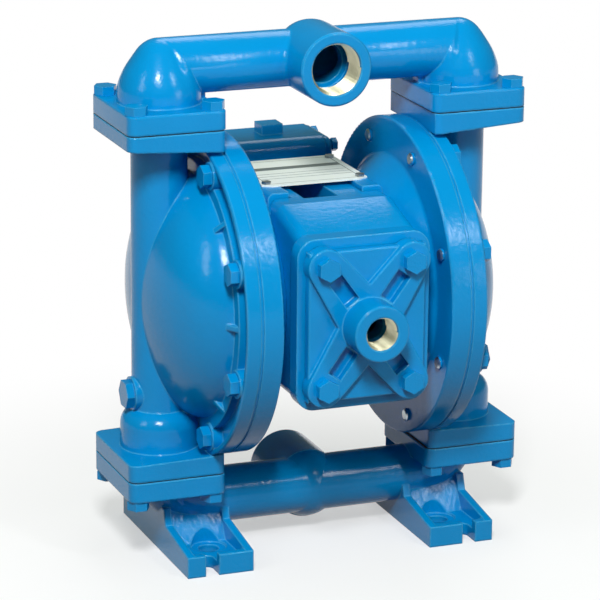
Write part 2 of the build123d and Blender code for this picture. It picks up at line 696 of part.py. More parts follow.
def air_inlet_cover():
    """Cover over the pilot valve: plate, four ribbed arms and the threaded air inlet."""
    plate = front_plate(cover_outline(), 0, rod_z, cover_plate_y, cover_back_y)
    plate = fillet(plate.faces().sort_by(Axis.Y)[0].edges(), 1.0)
    arms = front_plate(cover_arms(), 0, rod_z, cover_arm_y, cover_back_y)
    arms = fillet(arms.faces().sort_by(Axis.Y)[0].edges(), 0.8)
    axis = along_y(0, rod_z)
    boss = round_bar(cover_boss_r, inlet_mouth_y, cover_back_y, axis)
    boss = fillet(boss.edges().group_by(Axis.Y)[0], 1.0)
    body = plate + arms + boss
    reach = sqrt(cover_bolt_dx ** 2 + cover_bolt_dz ** 2)
    pocket_start, pocket_end = cover_boss_r + 1.0, reach - cover_lobe_r + 2.5
    for x, z in cover_bolt_places():
        angle = Vector(x, z - rod_z).get_signed_angle(Vector(1, 0))
        pocket = Rot(0, 0, -angle) * Pos((pocket_start + pocket_end) / 2, 0) * Rectangle(
            pocket_end - pocket_start, cover_pocket_w)
        body -= front_plate(pocket, 0, rod_z, cover_arm_y - 1, cover_plate_y + 2)
        body -= round_bar(bolt_r + bolt_clearance, cover_arm_y - 1, cover_back_y + 1, along_y(x, z))
    body -= round_bar(inlet_thread_r, inlet_mouth_y - 1, inlet_mouth_y + inlet_depth, axis)
    body -= round_bar(inlet_thread_r - 2, inlet_mouth_y, cover_back_y + 1, axis)
    return body


def cover_gasket():
    sheet = front_plate(cover_outline(-gasket_inset), 0, rod_z, cover_back_y, body_front_y)
    sheet -= block(-pilot_half, pilot_half, cover_back_y - 1, body_front_y + 1,
                   rod_z - pilot_cavity_h / 2, rod_z + pilot_cavity_h / 2)
    for x, z in cover_bolt_places():
        sheet -= round_bar(bolt_r + bolt_clearance, cover_back_y - 1, body_front_y + 1, along_y(x, z))
    return sheet


def pilot_valve_body():
    """Block with the cross bore of the pilot spool, seated on the back wall of its cavity."""
    half = pilot_body_w / 2
    body = block(-pilot_half, pilot_half, pilot_y - half, pilot_y + half, rod_z - half, rod_z + half)
    body = fillet(body.edges().filter_by(Axis.X), 3.0)
    body -= round_bar(pilot_spool_r + running_gap, -pilot_half - 1, pilot_half + 1, along_x(pilot_y, rod_z))
    for x in (-10, 0, 10):
        body -= round_bar(2.0, pilot_y - half - 1, pilot_y, along_y(x, rod_z))
    return body


def pilot_spool():
    """Grooved spool of the pilot valve."""
    axis = along_x(pilot_y, rod_z)
    spool = round_bar(pilot_spool_r, -pilot_spool_half, pilot_spool_half, axis)
    for start in (-9, 3):
        spool -= tube_ring(pilot_spool_r + 1, pilot_spool_r - 1.6, start, start + 6, axis)
    return spool


def plunger():
    """Right-hand plunger between the pilot spool and the inner plate."""
    axis = along_x(pilot_y, rod_z)
    pin = round_bar(plunger_r, pilot_spool_half, plunger_tip_x, axis)
    return fillet(pin.edges().group_by(Axis.X)[-1], 1.0)


def plunger_bushing():
    return tube_ring(plunger_bush_r, plunger_r + running_gap, body_half + 0.5, dish_floor_x,
                     along_x(pilot_y, rod_z))


def rod_bushing():
    start = dish_floor_x - rod_seal_t - bush_length
    return tube_ring(rod_bush_r, rod_r + running_gap, start, start + bush_length, x_axis)


def rod_seal():
    """Lip seal between the bushing and the air chamber."""
    inner = rod_r + running_gap
    start, end = dish_floor_x - rod_seal_t, dish_floor_x
    points = [(start, inner + 0.6), (start, rod_bush_r), (end, rod_bush_r), (end, rod_bush_r - 0.8),
              (start + 1.4, rod_bush_r - 1.2), (start + 1.4, inner + 1.4), (end, inner), (end - 1, inner)]
    return turned(points, x_axis)


# ---------------------------------------------------------------- diaphragm assembly
def diaphragm():
    """Right-hand diaphragm: clamped rim, one rolling convolution and a flat centre."""
    clamp_r = dome_r - chamber_wall - clamp_step
    fold_r = plate_r + fold_gap
    crest_r = (plate_r + clamp_r) / 2
    arch = ThreePointArc((plate_seat_x + diaphragm_centre_t, fold_r), (parting_x + fold_rise, crest_r),
                         (outer_face_x, clamp_r))
    back_arch = ThreePointArc((inner_face_x, clamp_r), (parting_x + fold_rise - fold_t, crest_r),
                              (plate_seat_x, fold_r))
    rim = Polyline((outer_face_x, clamp_r), (outer_face_x, ring_r - gasket_inset),
                   (inner_face_x, ring_r - gasket_inset), (inner_face_x, clamp_r))
    centre = Polyline((plate_seat_x, fold_r), (plate_seat_x, rod_end_r + running_gap),
                      (plate_seat_x + diaphragm_centre_t, rod_end_r + running_gap),
                      (plate_seat_x + diaphragm_centre_t, fold_r))
    sheet = lathe(make_face([arch, rim, back_arch, centre]), x_axis)
    for y, z in ring_bolt_places():
        sheet -= round_bar(bolt_r + bolt_clearance, inner_face_x - 1, outer_face_x + 1, along_x(y, z))
    return sheet


def rod_shoulder_x():
    return plate_seat_x - inner_plate_t


def diaphragm_rod():
    """Rod through the centre body, stepped down at both ends for the plates."""
    shoulder = rod_shoulder_x()
    end = plate_seat_x + diaphragm_centre_t + outer_plate_t
    points = [(-end, 0), (-end, rod_end_r), (-shoulder, rod_end_r), (-shoulder, rod_r),
              (shoulder, rod_r), (shoulder, rod_end_r), (end, rod_end_r), (end, 0)]
    rod = turned(points, x_axis)
    return chamfer(rod.edges().group_by(Axis.X)[0] + rod.edges().group_by(Axis.X)[-1], 1.0)


def inner_plate():
    """Plate on the air side, between the rod shoulder and the diaphragm."""
    start = rod_shoulder_x()
    bore = rod_end_r + running_gap
    points = [(start, bore), (start, plate_r * 0.6), (start + inner_plate_t - 3, plate_r),
              (start + inner_plate_t, plate_r), (start + inner_plate_t, bore)]
    plate = turned(points, x_axis)
    striker = round_bar(plunger_r + 3, start, start + 2, along_x(pilot_y, rod_z))
    return plate + (striker & round_bar(plate_r - 1, start, start + inner_plate_t, x_axis))


def outer_plate():
    """Plate on the fluid side, with a closed hub screwed onto the end of the rod."""
    start = plate_seat_x + diaphragm_centre_t
    hub_end = start + outer_plate_t + hub_t
    skin = FilletPolyline((start, plate_r), (start + 3, plate_r), (start + outer_plate_t, hub_r + 6),
                          (start + outer_plate_t, hub_r), (hub_end, hub_r), (hub_end, 0), radius=[2, 3, 2, 4])
    closing = Polyline((hub_end, 0), (start, 0), (start, plate_r))
    plate = lathe(make_face([skin, closing]), x_axis)
    return plate - round_bar(rod_end_r + running_gap, start - 1, start + outer_plate_t, x_axis)


# ---------------------------------------------------------------- check valves
def valve_seat(seat_top_z, ball_z, side):
    """Seat ring with a spherical face for the ball."""
    axis = along_z(side * column_x, 0)
    ring = tube_ring(seat_r, seat_bore_r, seat_top_z - seat_depth - gasket_t, seat_top_z, axis)
    return ring - Pos(side * column_x, 0, ball_z) * Sphere(ball_r + ball_gap)


def check_ball(ball_z, side):
    return Pos(side * column_x, 0, ball_z) * Sphere(ball_r)


def joint_gaskets(z0):
    """The two flat gaskets of one manifold."""
    sheets = []
    for side in (-1, 1):
        sheet = flange_plate(side, z0, z0 + gasket_t, gasket_inset)
        sheet -= round_bar(seat_r + spigot_gap, z0 - 1, z0 + gasket_t + 1, along_z(side * column_x, 0))
        for x, y in flange_bolt_places(side):
            sheet -= round_bar(bolt_r + bolt_clearance, z0 - 1, z0 + gasket_t + 1, along_z(x, y))
        sheets.append(sheet)
    return group(sheets)


# ---------------------------------------------------------------- main air valve and exhaust
def air_valve_body():
    """Valve block with the cross bore of the main spool, its base plate and the exhaust boss."""
    square = RectangleRounded(valve_square, valve_square, valve_corner)
    frame = Plane(origin=(-valve_half, valve_y, valve_z), x_dir=(0, 1, 0), z_dir=(1, 0, 0))
    body = extrude(frame * square, 2 * valve_half)
    base = RectangleRounded(rear_flange_w, rear_flange_h - 2 * valve_base_drop, front_flange_corner)
    body += front_plate(base, 0, rod_z - valve_base_drop, valve_face_y, valve_base_y)
    body += block(-valve_half + 20, valve_half - 20, valve_face_y, valve_y,
                  valve_z - valve_square / 2 - 8, valve_z)
    axis = along_y(0, exhaust_z)
    body += round_bar(exhaust_boss_r, valve_face_y + 1, valve_base_y + exhaust_boss_reach, axis)
    body += block(*valve_tab_x, valve_y - valve_tab_length / 2, valve_y + valve_tab_length / 2,
                  valve_z + sleeve_r + over, valve_z + valve_square / 2 + valve_tab_rise)
    body -= round_bar(sleeve_r + running_gap, -valve_half - 1, valve_half + 1, along_x(valve_y, valve_z))
    body -= round_bar(muffler_thread_r + running_gap, valve_face_y + 6,
                      valve_base_y + exhaust_boss_reach + 1, axis)
    body -= round_bar(passage_r - 3, valve_face_y - 1, valve_y, along_y(0, valve_z - 14))
    for x, z in valve_bolt_places():
        body -= round_bar(bolt_r + bolt_clearance, valve_face_y - 1, valve_base_y + 1, along_y(x, z))
    for side in (-1, 1):
        for y, z in cap_screw_places():
            start = side * (valve_half - cap_screw_length + cap_t - 1)
            body -= round_bar(small_bolt_r + running_gap, start, side * (valve_half + 1), along_x(y, z))
    return body


def air_valve_gasket():
    outline = RectangleRounded(rear_flange_w - 2 * gasket_inset,
                               rear_flange_h - 2 * valve_base_drop - 2 * gasket_inset,
                               front_flange_corner - gasket_inset)
    sheet = front_plate(outline, 0, rod_z - valve_base_drop, body_rear_y, valve_face_y)
    for x, z in valve_bolt_places():
        sheet -= round_bar(bolt_r + bolt_clearance, body_rear_y - 1, valve_face_y + 1, along_y(x, z))
    return sheet


def cap_screw_places():
    return [(valve_y + sy * cap_screw_pitch / 2, valve_z + sz * cap_screw_pitch / 2)
            for sy in (-1, 1) for sz in (-1, 1)]


def valve_cap():
    """Right-hand end cap of the main air valve."""
    square = RectangleRounded(valve_square - 2, valve_square - 2, valve_corner - 1)
    frame = Plane(origin=(valve_half, valve_y, valve_z), x_dir=(0, 1, 0), z_dir=(1, 0, 0))
    cap = extrude(frame * square, cap_t)
    cap = fillet(cap.faces().sort_by(Axis.X)[-1].edges(), cap_edge_r)
    cap += round_bar(small_head_r, valve_half + over, valve_half + cap_t + small_head_t,
                     along_x(valve_y, valve_z))
    for y, z in cap_screw_places():
        cap -= round_bar(small_bolt_r + bolt_clearance, valve_half - over, valve_half + cap_t + over,
                         along_x(y, z))
    return cap


def valve_sleeve():
    """Ported sleeve in which the main spool slides."""
    axis = along_x(valve_y, valve_z)
    sleeve = tube_ring(sleeve_r, sleeve_bore_r, -valve_half, valve_half, axis)
    for x in (-sleeve_port_pitch, 0, sleeve_port_pitch):
        sleeve -= tube_ring(sleeve_r + over, sleeve_r - sleeve_groove_depth, x - sleeve_groove_w / 2,
                            x + sleeve_groove_w / 2, axis)
        sleeve -= round_bar(sleeve_port_r, valve_z - sleeve_r - over, valve_z + sleeve_r + over,
                            along_z(x, valve_y))
    return sleeve


def main_spool():
    """Spool with three lands."""
    axis = along_x(valve_y, valve_z)
    spool = round_bar(sleeve_bore_r - running_gap, -spool_half, spool_half, axis)
    for start in (-spool_land / 2 - spool_neck_length, spool_land / 2):
        spool -= tube_ring(sleeve_bore_r + over, spool_neck_r, start, start + spool_neck_length, axis)
    return chamfer(spool.edges().group_by(Axis.X)[0] + spool.edges().group_by(Axis.X)[-1], spool_chamfer)


def muffler():
    """Exhaust silencer screwed into the boss, with a ring of slots."""
    axis = along_y(0, exhaust_z)
    start = valve_base_y + exhaust_boss_reach
    skin = FilletPolyline((start, muffler_thread_r), (start + 0.01, muffler_thread_r + 5),
                          (start + 6, muffler_r), (start + muffler_length, muffler_r), (start + muffler_length, 0), radius=[2, 4, 6])
    closing = Polyline((start + muffler_length, 0), (start - muffler_thread_length, 0),
                       (start - muffler_thread_length, muffler_thread_r), (start, muffler_thread_r))
    body = lathe(make_face([skin, closing]), axis)
    slot = block(-1.5, 1.5, start + 14, start + muffler_length - 14, exhaust_z + muffler_r - 3,
                 exhaust_z + muffler_r + 1)
    for i in range(12):
        body -= slot.rotate(axis, 30 * i)
    return body


# ---------------------------------------------------------------- name plate and plugs
def name_plate():
    """Bare plate lying on the four lugs, with its two front corners cut off."""
    y0, y1 = plate_front_y, plate_front_y + plate_depth
    w, c = plate_half_w, plate_chamfer
    outline = Polyline((-w + c, y0), (w - c, y0), (w, y0 + c / 2), (w, y1), (-w, y1), (-w, y0 + c / 2), close=True)
    plate = Pos(0, 0, lug_top_z) * extrude(make_face(outline), plate_t)
    for x, y in plate_screw_places():
        plate -= round_bar(plate_screw_r + running_gap, lug_top_z - 1, lug_top_z + plate_t + 1, along_z(x, y))
    return plate


def plate_screw_places():
    return [(side * plate_screw_x, y) for side in (-1, 1) for y in plate_screw_rows]


def drain_plug():
    """Right-hand hexagon plug in the side of the column."""
    face_x = column_x + plug_boss_reach
    head = Plane.YZ.offset(face_x) * (Pos(0, plug_z) * RegularPolygon(plug_head_r, 6))
    plug = extrude(head, plug_head_t)
    return plug + round_bar(plug_thread_r, face_x - plug_shank, face_x + 1, along_x(0, plug_z))


# ---------------------------------------------------------------- fasteners
def placed(bolt, position, direction):
    """Stand a bolt drawn with its head along +Z at a position, its head pointing in a direction."""
    return Plane(origin=position, z_dir=direction) * bolt


def chamber_bolts():
    """Right-hand ring bolts, from the pads through both rings."""
    bolt = hex_bolt(pad_x - ring_inner_x + bolt_tip)
    bolt = chamfer(bolt.edges().group_by(Axis.Z)[0], bolt_tip_chamfer)
    return group([placed(bolt, (pad_x, y, z), (1, 0, 0)) for y, z in ring_bolt_places()])


def discharge_bolts():
    seat_z = manifold_face_z + discharge_flange_t
    length = discharge_flange_t + gasket_t + top_flange_t_outer - tapped_floor - thread_end_gap
    return group([placed(hex_bolt(length), (x, y, seat_z), (0, 0, 1))
                  for side in (-1, 1) for x, y in flange_bolt_places(side)])


def suction_bolts():
    seat_z = suction_face_z - suction_flange_t
    length = suction_flange_t + gasket_t + bottom_flange_t_outer - tapped_floor - thread_end_gap
    return group([placed(hex_bolt(length), (x, y, seat_z), (0, 0, -1))
                  for side in (-1, 1) for x, y in flange_bolt_places(side)])


def cover_bolts():
    length = cover_back_y - cover_arm_y + gasket_t + front_flange_t - 1
    return group([placed(hex_bolt(length), (x, cover_arm_y, z), (0, -1, 0)) for x, z in cover_bolt_places()])


def valve_bolts():
    length = valve_base_t + gasket_t + rear_flange_t - 1
    return group([placed(hex_bolt(length), (x, valve_base_y, z), (0, 1, 0)) for x, z in valve_bolt_places()])


def cap_screws():
    screw = hex_bolt(cap_screw_length, small_bolt_r, small_head_r, small_head_t)
    return group([placed(screw, (side * (valve_half + cap_t), y, z), (side, 0, 0))
                  for side in (-1, 1) for y, z in cap_screw_places()])


def chamber_screws():
    """Right-hand screws through the dished floor into the centre body."""
    screw = hex_bolt(chamber_screw_length, small_bolt_r, small_head_r, small_head_t)
    return group([placed(screw, (dish_floor_x, y, z), (1, 0, 0)) for y, z in chamber_screw_places()])


def plate_screws():
    screw = hex_bolt(plate_screw_length, plate_screw_r, plate_screw_head_r, plate_screw_head_t)
    return group([placed(screw, (x, y, lug_top_z + plate_t), (0, 0, 1)) for x, y in plate_screw_places()])


# ---------------------------------------------------------------- the assembly
pump = {
    "discharge_manifold": discharge_manifold(),
    "suction_manifold": suction_manifold(),
    "discharge_gaskets": joint_gaskets(top_of_chamber_z),
    "suction_gaskets": joint_gaskets(suction_face_z),
    "centre_body": centre_body(),
    "air_inlet_cover": air_inlet_cover(),
    "air_inlet_gasket": cover_gasket(),
    "pilot_valve_body": pilot_valve_body(),
    "pilot_spool": pilot_spool(),
    "diaphragm_rod": diaphragm_rod(),
    "air_valve_body": air_valve_body(),
    "air_valve_gasket": air_valve_gasket(),
    "air_valve_sleeve": valve_sleeve(),
    "main_spool": main_spool(),
    "exhaust_muffler": muffler(),
    "name_plate": name_plate(),
    "discharge_bolts": discharge_bolts(),
    "suction_bolts": suction_bolts(),
    "air_inlet_cover_bolts": cover_bolts(),
    "air_valve_bolts": valve_bolts(),
    "air_valve_cap_screws": cap_screws(),
    "name_plate_screws": plate_screws(),
}

handed = {
    "outer_chamber": outer_chamber,
    "inner_chamber": inner_chamber,
    "diaphragm": diaphragm,
    "inner_plate": inner_plate,
    "outer_plate": outer_plate,
    "rod_bushing": rod_bushing,
    "rod_seal": rod_seal,
    "plunger": plunger,
    "plunger_bushing": plunger_bushing,
    "drain_plug": drain_plug,
    "air_valve_cap": valve_cap,
    "chamber_bolts": chamber_bolts,
    "inner_chamber_screws": chamber_screws,
}
for name, make in handed.items():
    right_piece = make()
    pump[name + "_right"] = right_piece
    pump[name + "_left"] = mirrored(right_piece)

for hand, side in (("left", -1), ("right", 1)):
    pump["discharge_seat_" + hand] = valve_seat(manifold_face_z, discharge_ball_z, side)
    pump["suction_seat_" + hand] = valve_seat(bottom_of_chamber_z, suction_ball_z, side)
    pump["discharge_ball_" + hand] = check_ball(discharge_ball_z, side)
    pump["suction_ball_" + hand] = check_ball(suction_ball_z, side)

os.makedirs("parts", exist_ok=True)
for name, piece in pump.items():
    piece.label = name
    export_step(piece, "parts/" + name + ".step")
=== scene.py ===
# %% [markdown]
# # An air operated diaphragm pump
# A cast metal pump stands on a pale studio floor. Its castings, bolts and plugs were put together
# first and then sprayed in one go, so one blue gloss paint lies over nearly all that shows.
# The solid parts come ready made from the model. This lesson gives every part its finish, draws
# the two discharge elbows leaner, cuts the pipe threads that the plain bores lack, and lights the
# pump as a small studio would.

# %% Load the parts
import json
from math import cos, radians, sin
import bpy
from mathutils import Matrix, Vector


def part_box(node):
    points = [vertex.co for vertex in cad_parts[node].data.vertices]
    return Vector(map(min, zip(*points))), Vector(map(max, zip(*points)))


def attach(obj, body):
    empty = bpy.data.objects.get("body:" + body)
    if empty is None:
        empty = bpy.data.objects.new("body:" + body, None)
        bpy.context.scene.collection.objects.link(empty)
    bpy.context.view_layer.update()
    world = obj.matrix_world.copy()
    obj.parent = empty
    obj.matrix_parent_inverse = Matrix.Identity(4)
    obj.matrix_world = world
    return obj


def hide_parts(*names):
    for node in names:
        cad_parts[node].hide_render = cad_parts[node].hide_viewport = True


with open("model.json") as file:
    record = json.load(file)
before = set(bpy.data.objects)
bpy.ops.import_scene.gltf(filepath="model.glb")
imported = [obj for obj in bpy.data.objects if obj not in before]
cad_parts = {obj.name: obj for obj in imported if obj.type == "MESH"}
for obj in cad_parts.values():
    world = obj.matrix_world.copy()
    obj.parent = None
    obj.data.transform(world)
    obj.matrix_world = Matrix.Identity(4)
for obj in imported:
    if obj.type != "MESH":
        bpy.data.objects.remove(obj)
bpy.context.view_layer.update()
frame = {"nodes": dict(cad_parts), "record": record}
mounts = {m["name"]: m for m in frame["record"]["mounts"]}
slot_of = {s["node"]: s["material_slot"] for s in frame["record"]["subparts"]}
millimetre = 0.001

# %% [markdown]
# ## Small helpers for the finishes
# Paint charts give colours as screen hex values, but the renderer works in linear light, so one
# function converts them. A noise texture's scale counts features per metre, so a second one works
# it out from the size of a feature in millimetres. A third adds a shader node, sets it up and
# joins it to others, and a fourth makes a whole material from one surface.

# %% Colour and node helpers
def linear(code):
    """Linear colour of a screen hex value such as 0094da."""
    parts = [int(code[i:i + 2], 16) / 255 for i in (0, 2, 4)]
    return tuple(p / 12.92 if p <= 0.04045 else ((p + 0.055) / 1.055) ** 2.4 for p in parts) + (1.0,)


def per_metre(size_mm):
    """Texture scale for features of a real size."""
    return 1 / (size_mm * millimetre)


def add(tree, kind, inputs=None, **settings):
    """Add a node, set its properties, and fill or link its inputs."""
    made = tree.nodes.new(kind)
    for key, value in settings.items():
        setattr(made, key, value)
    for socket, value in (inputs or {}).items():
        if isinstance(value, bpy.types.NodeSocket):
            tree.links.new(value, made.inputs[socket])
        else:
            made.inputs[socket].default_value = value
    return made


def finish(name, surface, **settings):
    """A material whose surface is made by one of the functions below, on the part's own coordinates."""
    made = bpy.data.materials.new(name)
    made.use_nodes = True
    tree = made.node_tree
    tree.nodes.clear()
    place = add(tree, "ShaderNodeTexCoord").outputs["Object"]
    out = add(tree, "ShaderNodeOutputMaterial")
    tree.links.new(surface(tree, place, **settings), out.inputs["Surface"])
    return made


print("0094da in linear light:", [round(c, 3) for c in linear("0094da")[:3]])

# %% [markdown]
# ## Blue enamel over castings
# The castings were shot blasted, which leaves a fine pebble skin, and then sprayed with a solvent
# enamel. Wet enamel flows a little before it sets, so the skin shows through softened and small
# bumps of dust stay as specks. Sharp edges are painted paler: partly because the film draws thin
# there, and partly as a painted highlight, the whitish gleam that gloss paint shows along edges.
# The pebbles are drawn about 3 mm wide, coarser than they are, so that they can be seen.
# A bevelled normal rounds a casting's edges over nearly two millimetres, as thick paint does, and
# a bolt's over half of one. The same rounded normal, set against the flat one, tells where an
# edge is. The film mirrors at about half the usual strength, because the studio floor below is
# whiter than most rooms that a pump is seen in.

# %% Blue enamel
def enamel(tree, place, pebble_mm=3.2, edge_mm=1.8, body="0094da", deep="0088c6", thin_film_and_highlight="66cdf2"):
    """Gloss enamel: smooth bright film over a pebbled casting, with edges painted paler for thin film and
    a painted highlight.
    """
    rounded = add(tree, "ShaderNodeBevel", {"Radius": edge_mm * millimetre}, samples=4)
    flat = add(tree, "ShaderNodeNewGeometry")
    turn = add(tree, "ShaderNodeVectorMath",
               {0: rounded.outputs["Normal"], 1: flat.outputs["Normal"]}, operation="DOT_PRODUCT")
    edge = add(tree, "ShaderNodeMapRange",
               {"Value": turn.outputs["Value"], "From Min": 0.97, "From Max": 0.80})
    patches = add(tree, "ShaderNodeTexNoise", {"Vector": place, "Scale": per_metre(45), "Detail": 3.0})
    streaks = add(tree, "ShaderNodeTexNoise", {"Vector": place, "Scale": per_metre(9), "Detail": 4.0})
    # Edges are painted paler in colour: partly thin film, partly a painted highlight along them.
    wear_and_highlight = add(tree, "ShaderNodeMath", {0: edge.outputs["Result"], 1: streaks.outputs["Fac"]},
               operation="MULTIPLY")
    colour = add(tree, "ShaderNodeMix", {"Factor": patches.outputs["Fac"], "A": linear(body),
                                         "B": linear(deep)}, data_type="RGBA")
    worn_and_highlit_colour = add(tree, "ShaderNodeMix", {"Factor": wear_and_highlight.outputs["Value"], "A": colour.outputs[2],
                                       "B": linear(thin_film_and_highlight)}, data_type="RGBA")
    pebble = add(tree, "ShaderNodeTexNoise",
                 {"Vector": place, "Scale": per_metre(pebble_mm), "Detail": 2.0})
    specks = add(tree, "ShaderNodeTexVoronoi", {"Vector": place, "Scale": per_metre(5.5)})
    grain = add(tree, "ShaderNodeMapRange", {"Value": specks.outputs["Distance"], "From Min": 0.16,
                                             "From Max": 0.04})
    skin = add(tree, "ShaderNodeBump",
               {"Height": pebble.outputs["Fac"], "Normal": rounded.outputs["Normal"],
                "Strength": 0.7, "Distance": 0.22 * millimetre})
    dusty = add(tree, "ShaderNodeBump",
                {"Height": grain.outputs["Result"], "Normal": skin.outputs["Normal"],
                 "Strength": 0.3, "Distance": 0.12 * millimetre})
    sheen = add(tree, "ShaderNodeMapRange",
                {"Value": streaks.outputs["Fac"], "To Min": 0.12, "To Max": 0.24})
    paint = add(tree, "ShaderNodeBsdfPrincipled",
                {"Base Color": worn_and_highlit_colour.outputs[2], "Roughness": sheen.outputs["Result"],
                 "Normal": dusty.outputs["Normal"], "IOR": 1.5, "Specular IOR Level": 0.25})
    return paint.outputs["BSDF"]


casting_paint = finish("blue_enamel_on_castings", enamel)
bolt_paint = finish("blue_enamel_on_bolts", enamel, pebble_mm=1.8, edge_mm=0.5)
print("enamels:", casting_paint.name, bolt_paint.name)

# %% [markdown]
# ## Bare machined metal
# The pipe threads are cut after casting and masked while the pump is sprayed, so the ports show
# bare light metal with a faint warm tint. The rod, the seats and the unpainted screws are turned
# from steel, the bushings from bronze, and the diaphragm plates and the main spool with its
# sleeve from aluminium. A cutting tool leaves fine rings, drawn here coarser than they are so
# that they can be seen, and handling dulls the metal in patches.

# %% Machined metals
def machined(tree, place, colour, dull, rough=0.28, ring_mm=0.7):
    """Turned metal: rings from the tool, and patches dulled by handling."""
    rings = add(tree, "ShaderNodeTexNoise", {"Vector": place, "Scale": per_metre(ring_mm), "Detail": 1.0})
    patches = add(tree, "ShaderNodeTexNoise", {"Vector": place, "Scale": per_metre(12), "Detail": 3.0})
    tint = add(tree, "ShaderNodeMix", {"Factor": patches.outputs["Fac"], "A": linear(colour),
                                       "B": linear(dull)}, data_type="RGBA")
    spread = add(tree, "ShaderNodeMapRange", {"Value": patches.outputs["Fac"], "To Min": rough - 0.08,
                                              "To Max": rough + 0.12})
    cut = add(tree, "ShaderNodeBump", {"Height": rings.outputs["Fac"], "Strength": 0.3,
                                       "Distance": 0.05 * millimetre})
    metal = add(tree, "ShaderNodeBsdfPrincipled",
                {"Base Color": tint.outputs[2], "Metallic": 1.0, "Roughness": spread.outputs["Result"],
                 "Normal": cut.outputs["Normal"]})
    return metal.outputs["BSDF"]


thread_metal = finish("bare_cut_thread", machined, colour="e2dec2", dull="b4b294", rough=0.34)
steel = finish("turned_steel", machined, colour="b9bbbd", dull="8d9093")
bronze = finish("sintered_bronze", machined, colour="b98a4a", dull="8a6434", rough=0.42)
aluminium = finish("cast_aluminium", machined, colour="c6c8ca", dull="a3a6a9", rough=0.4, ring_mm=2.0)
print("metals:", thread_metal.name, steel.name, bronze.name, aluminium.name)

# %% [markdown]
# ## Rubber and plastic
# Gaskets and diaphragms are pressed rubber, dead matt with a faint bloom. The balls are a hard
# white elastomer with a satin skin. The muffler is moulded black plastic with a spark eroded
# texture.

# %% Moulded finishes
def moulded(tree, place, colour, bloom, rough, skin_mm, depth_mm):
    """Rubber or plastic: matt skin with fine texture and paler bloom."""
    patches = add(tree, "ShaderNodeTexNoise", {"Vector": place, "Scale": per_metre(15), "Detail": 4.0})
    tint = add(tree, "ShaderNodeMix", {"Factor": patches.outputs["Fac"], "A": linear(colour),
                                       "B": linear(bloom)}, data_type="RGBA")
    skin = add(tree, "ShaderNodeTexNoise", {"Vector": place, "Scale": per_metre(skin_mm), "Detail": 2.0})
    bumps = add(tree, "ShaderNodeBump", {"Height": skin.outputs["Fac"], "Strength": 0.4,
                                         "Distance": depth_mm * millimetre})
    spread = add(tree, "ShaderNodeMapRange", {"Value": patches.outputs["Fac"], "To Min": rough - 0.08,
                                              "To Max": rough + 0.08})
    mould = add(tree, "ShaderNodeBsdfPrincipled",
                {"Base Color": tint.outputs[2], "Roughness": spread.outputs["Result"],
                 "Normal": bumps.outputs["Normal"], "IOR": 1.5})
    return mould.outputs["BSDF"]


rubber = dict(colour="17181a", bloom="2a2b2d", rough=0.75, skin_mm=1.2, depth_mm=0.05)
black_rubber = finish("pressed_black_rubber", moulded, **rubber)
white_rubber = finish("hard_white_elastomer", moulded, colour="e4dfd0", bloom="d2ccba", rough=0.45,
                      skin_mm=2.5, depth_mm=0.04)
black_plastic = finish("black_moulded_plastic", moulded, colour="141516", bloom="232426", rough=0.55,
                       skin_mm=0.9, depth_mm=0.06)
print("moulded finishes:", black_rubber.name, white_rubber.name, black_plastic.name)

# %% [markdown]
# ## Where the spray stopped
# The pump was sprayed after it was bolted together. So the edge of each diaphragm, the one part
# of it that shows between the rings, is blue over black rubber. The far ends of the ring bolts
# poke out of the inner rings, where the gun hardly reached, and stay bright. Both finishes mix
# two surfaces by where a point lies, with a ragged border a millimetre or two wide.

# %% Finishes with a border
inner_ring_width = 14 * millimetre
painted_rim = 2 * millimetre
rod_height = sum(v.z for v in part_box("diaphragm_rod")) / 2
ring_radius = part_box("diaphragm_left")[1].z - rod_height
bolt_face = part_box("inner_chamber_right")[1].x - inner_ring_width


def ragged(tree, place, distance, border):
    """0 below a border and 1 above it, with a ragged edge."""
    noise = add(tree, "ShaderNodeTexNoise", {"Vector": place, "Scale": per_metre(3), "Detail": 3.0})
    shifted = add(tree, "ShaderNodeMath", {0: noise.outputs["Fac"], 1: 1.5 * millimetre, 2: distance},
                  operation="MULTIPLY_ADD")
    share = add(tree, "ShaderNodeMapRange", {"Value": shifted.outputs["Value"], "From Min": border,
                                             "From Max": border + 0.5 * millimetre})
    return share.outputs["Result"]


def rubber_with_painted_edge(tree, place):
    """Rubber near the rod's axis and enamel on the outermost rim."""
    away = add(tree, "ShaderNodeVectorMath", {0: place, 1: (0, 0, rod_height)}, operation="SUBTRACT")
    round_rod = add(tree, "ShaderNodeVectorMath", {0: away.outputs["Vector"], 1: (0, 1, 1)},
                    operation="MULTIPLY")
    radius = add(tree, "ShaderNodeVectorMath", {0: round_rod.outputs["Vector"]}, operation="LENGTH")
    share = ragged(tree, place, radius.outputs["Value"], ring_radius - painted_rim)
    mixed = add(tree, "ShaderNodeMixShader", {0: share, 1: moulded(tree, place, **rubber),
                                              2: enamel(tree, place, edge_mm=0.3)})
    return mixed.outputs["Shader"]


def bolt_with_bare_end(tree, place):
    """Bare steel near the pump's middle and enamel further out."""
    split = add(tree, "ShaderNodeSeparateXYZ", {0: place})
    sideways = add(tree, "ShaderNodeMath", {0: split.outputs["X"]}, operation="ABSOLUTE")
    share = ragged(tree, place, sideways.outputs["Value"], bolt_face)
    bare = machined(tree, place, colour="d2d6d8", dull="a9b2b6", rough=0.3)
    painted = enamel(tree, place, pebble_mm=1.8, edge_mm=0.5)
    mixed = add(tree, "ShaderNodeMixShader", {0: share, 1: bare, 2: painted})
    return mixed.outputs["Shader"]


diaphragm_rubber = finish("rubber_with_painted_edge", rubber_with_painted_edge)
ring_bolt_paint = finish("enamelled_bolt_with_bare_end", bolt_with_bare_end)
print("rod height in mm:", round(rod_height / millimetre, 1))
print("ring radius in mm:", round(ring_radius / millimetre, 1))

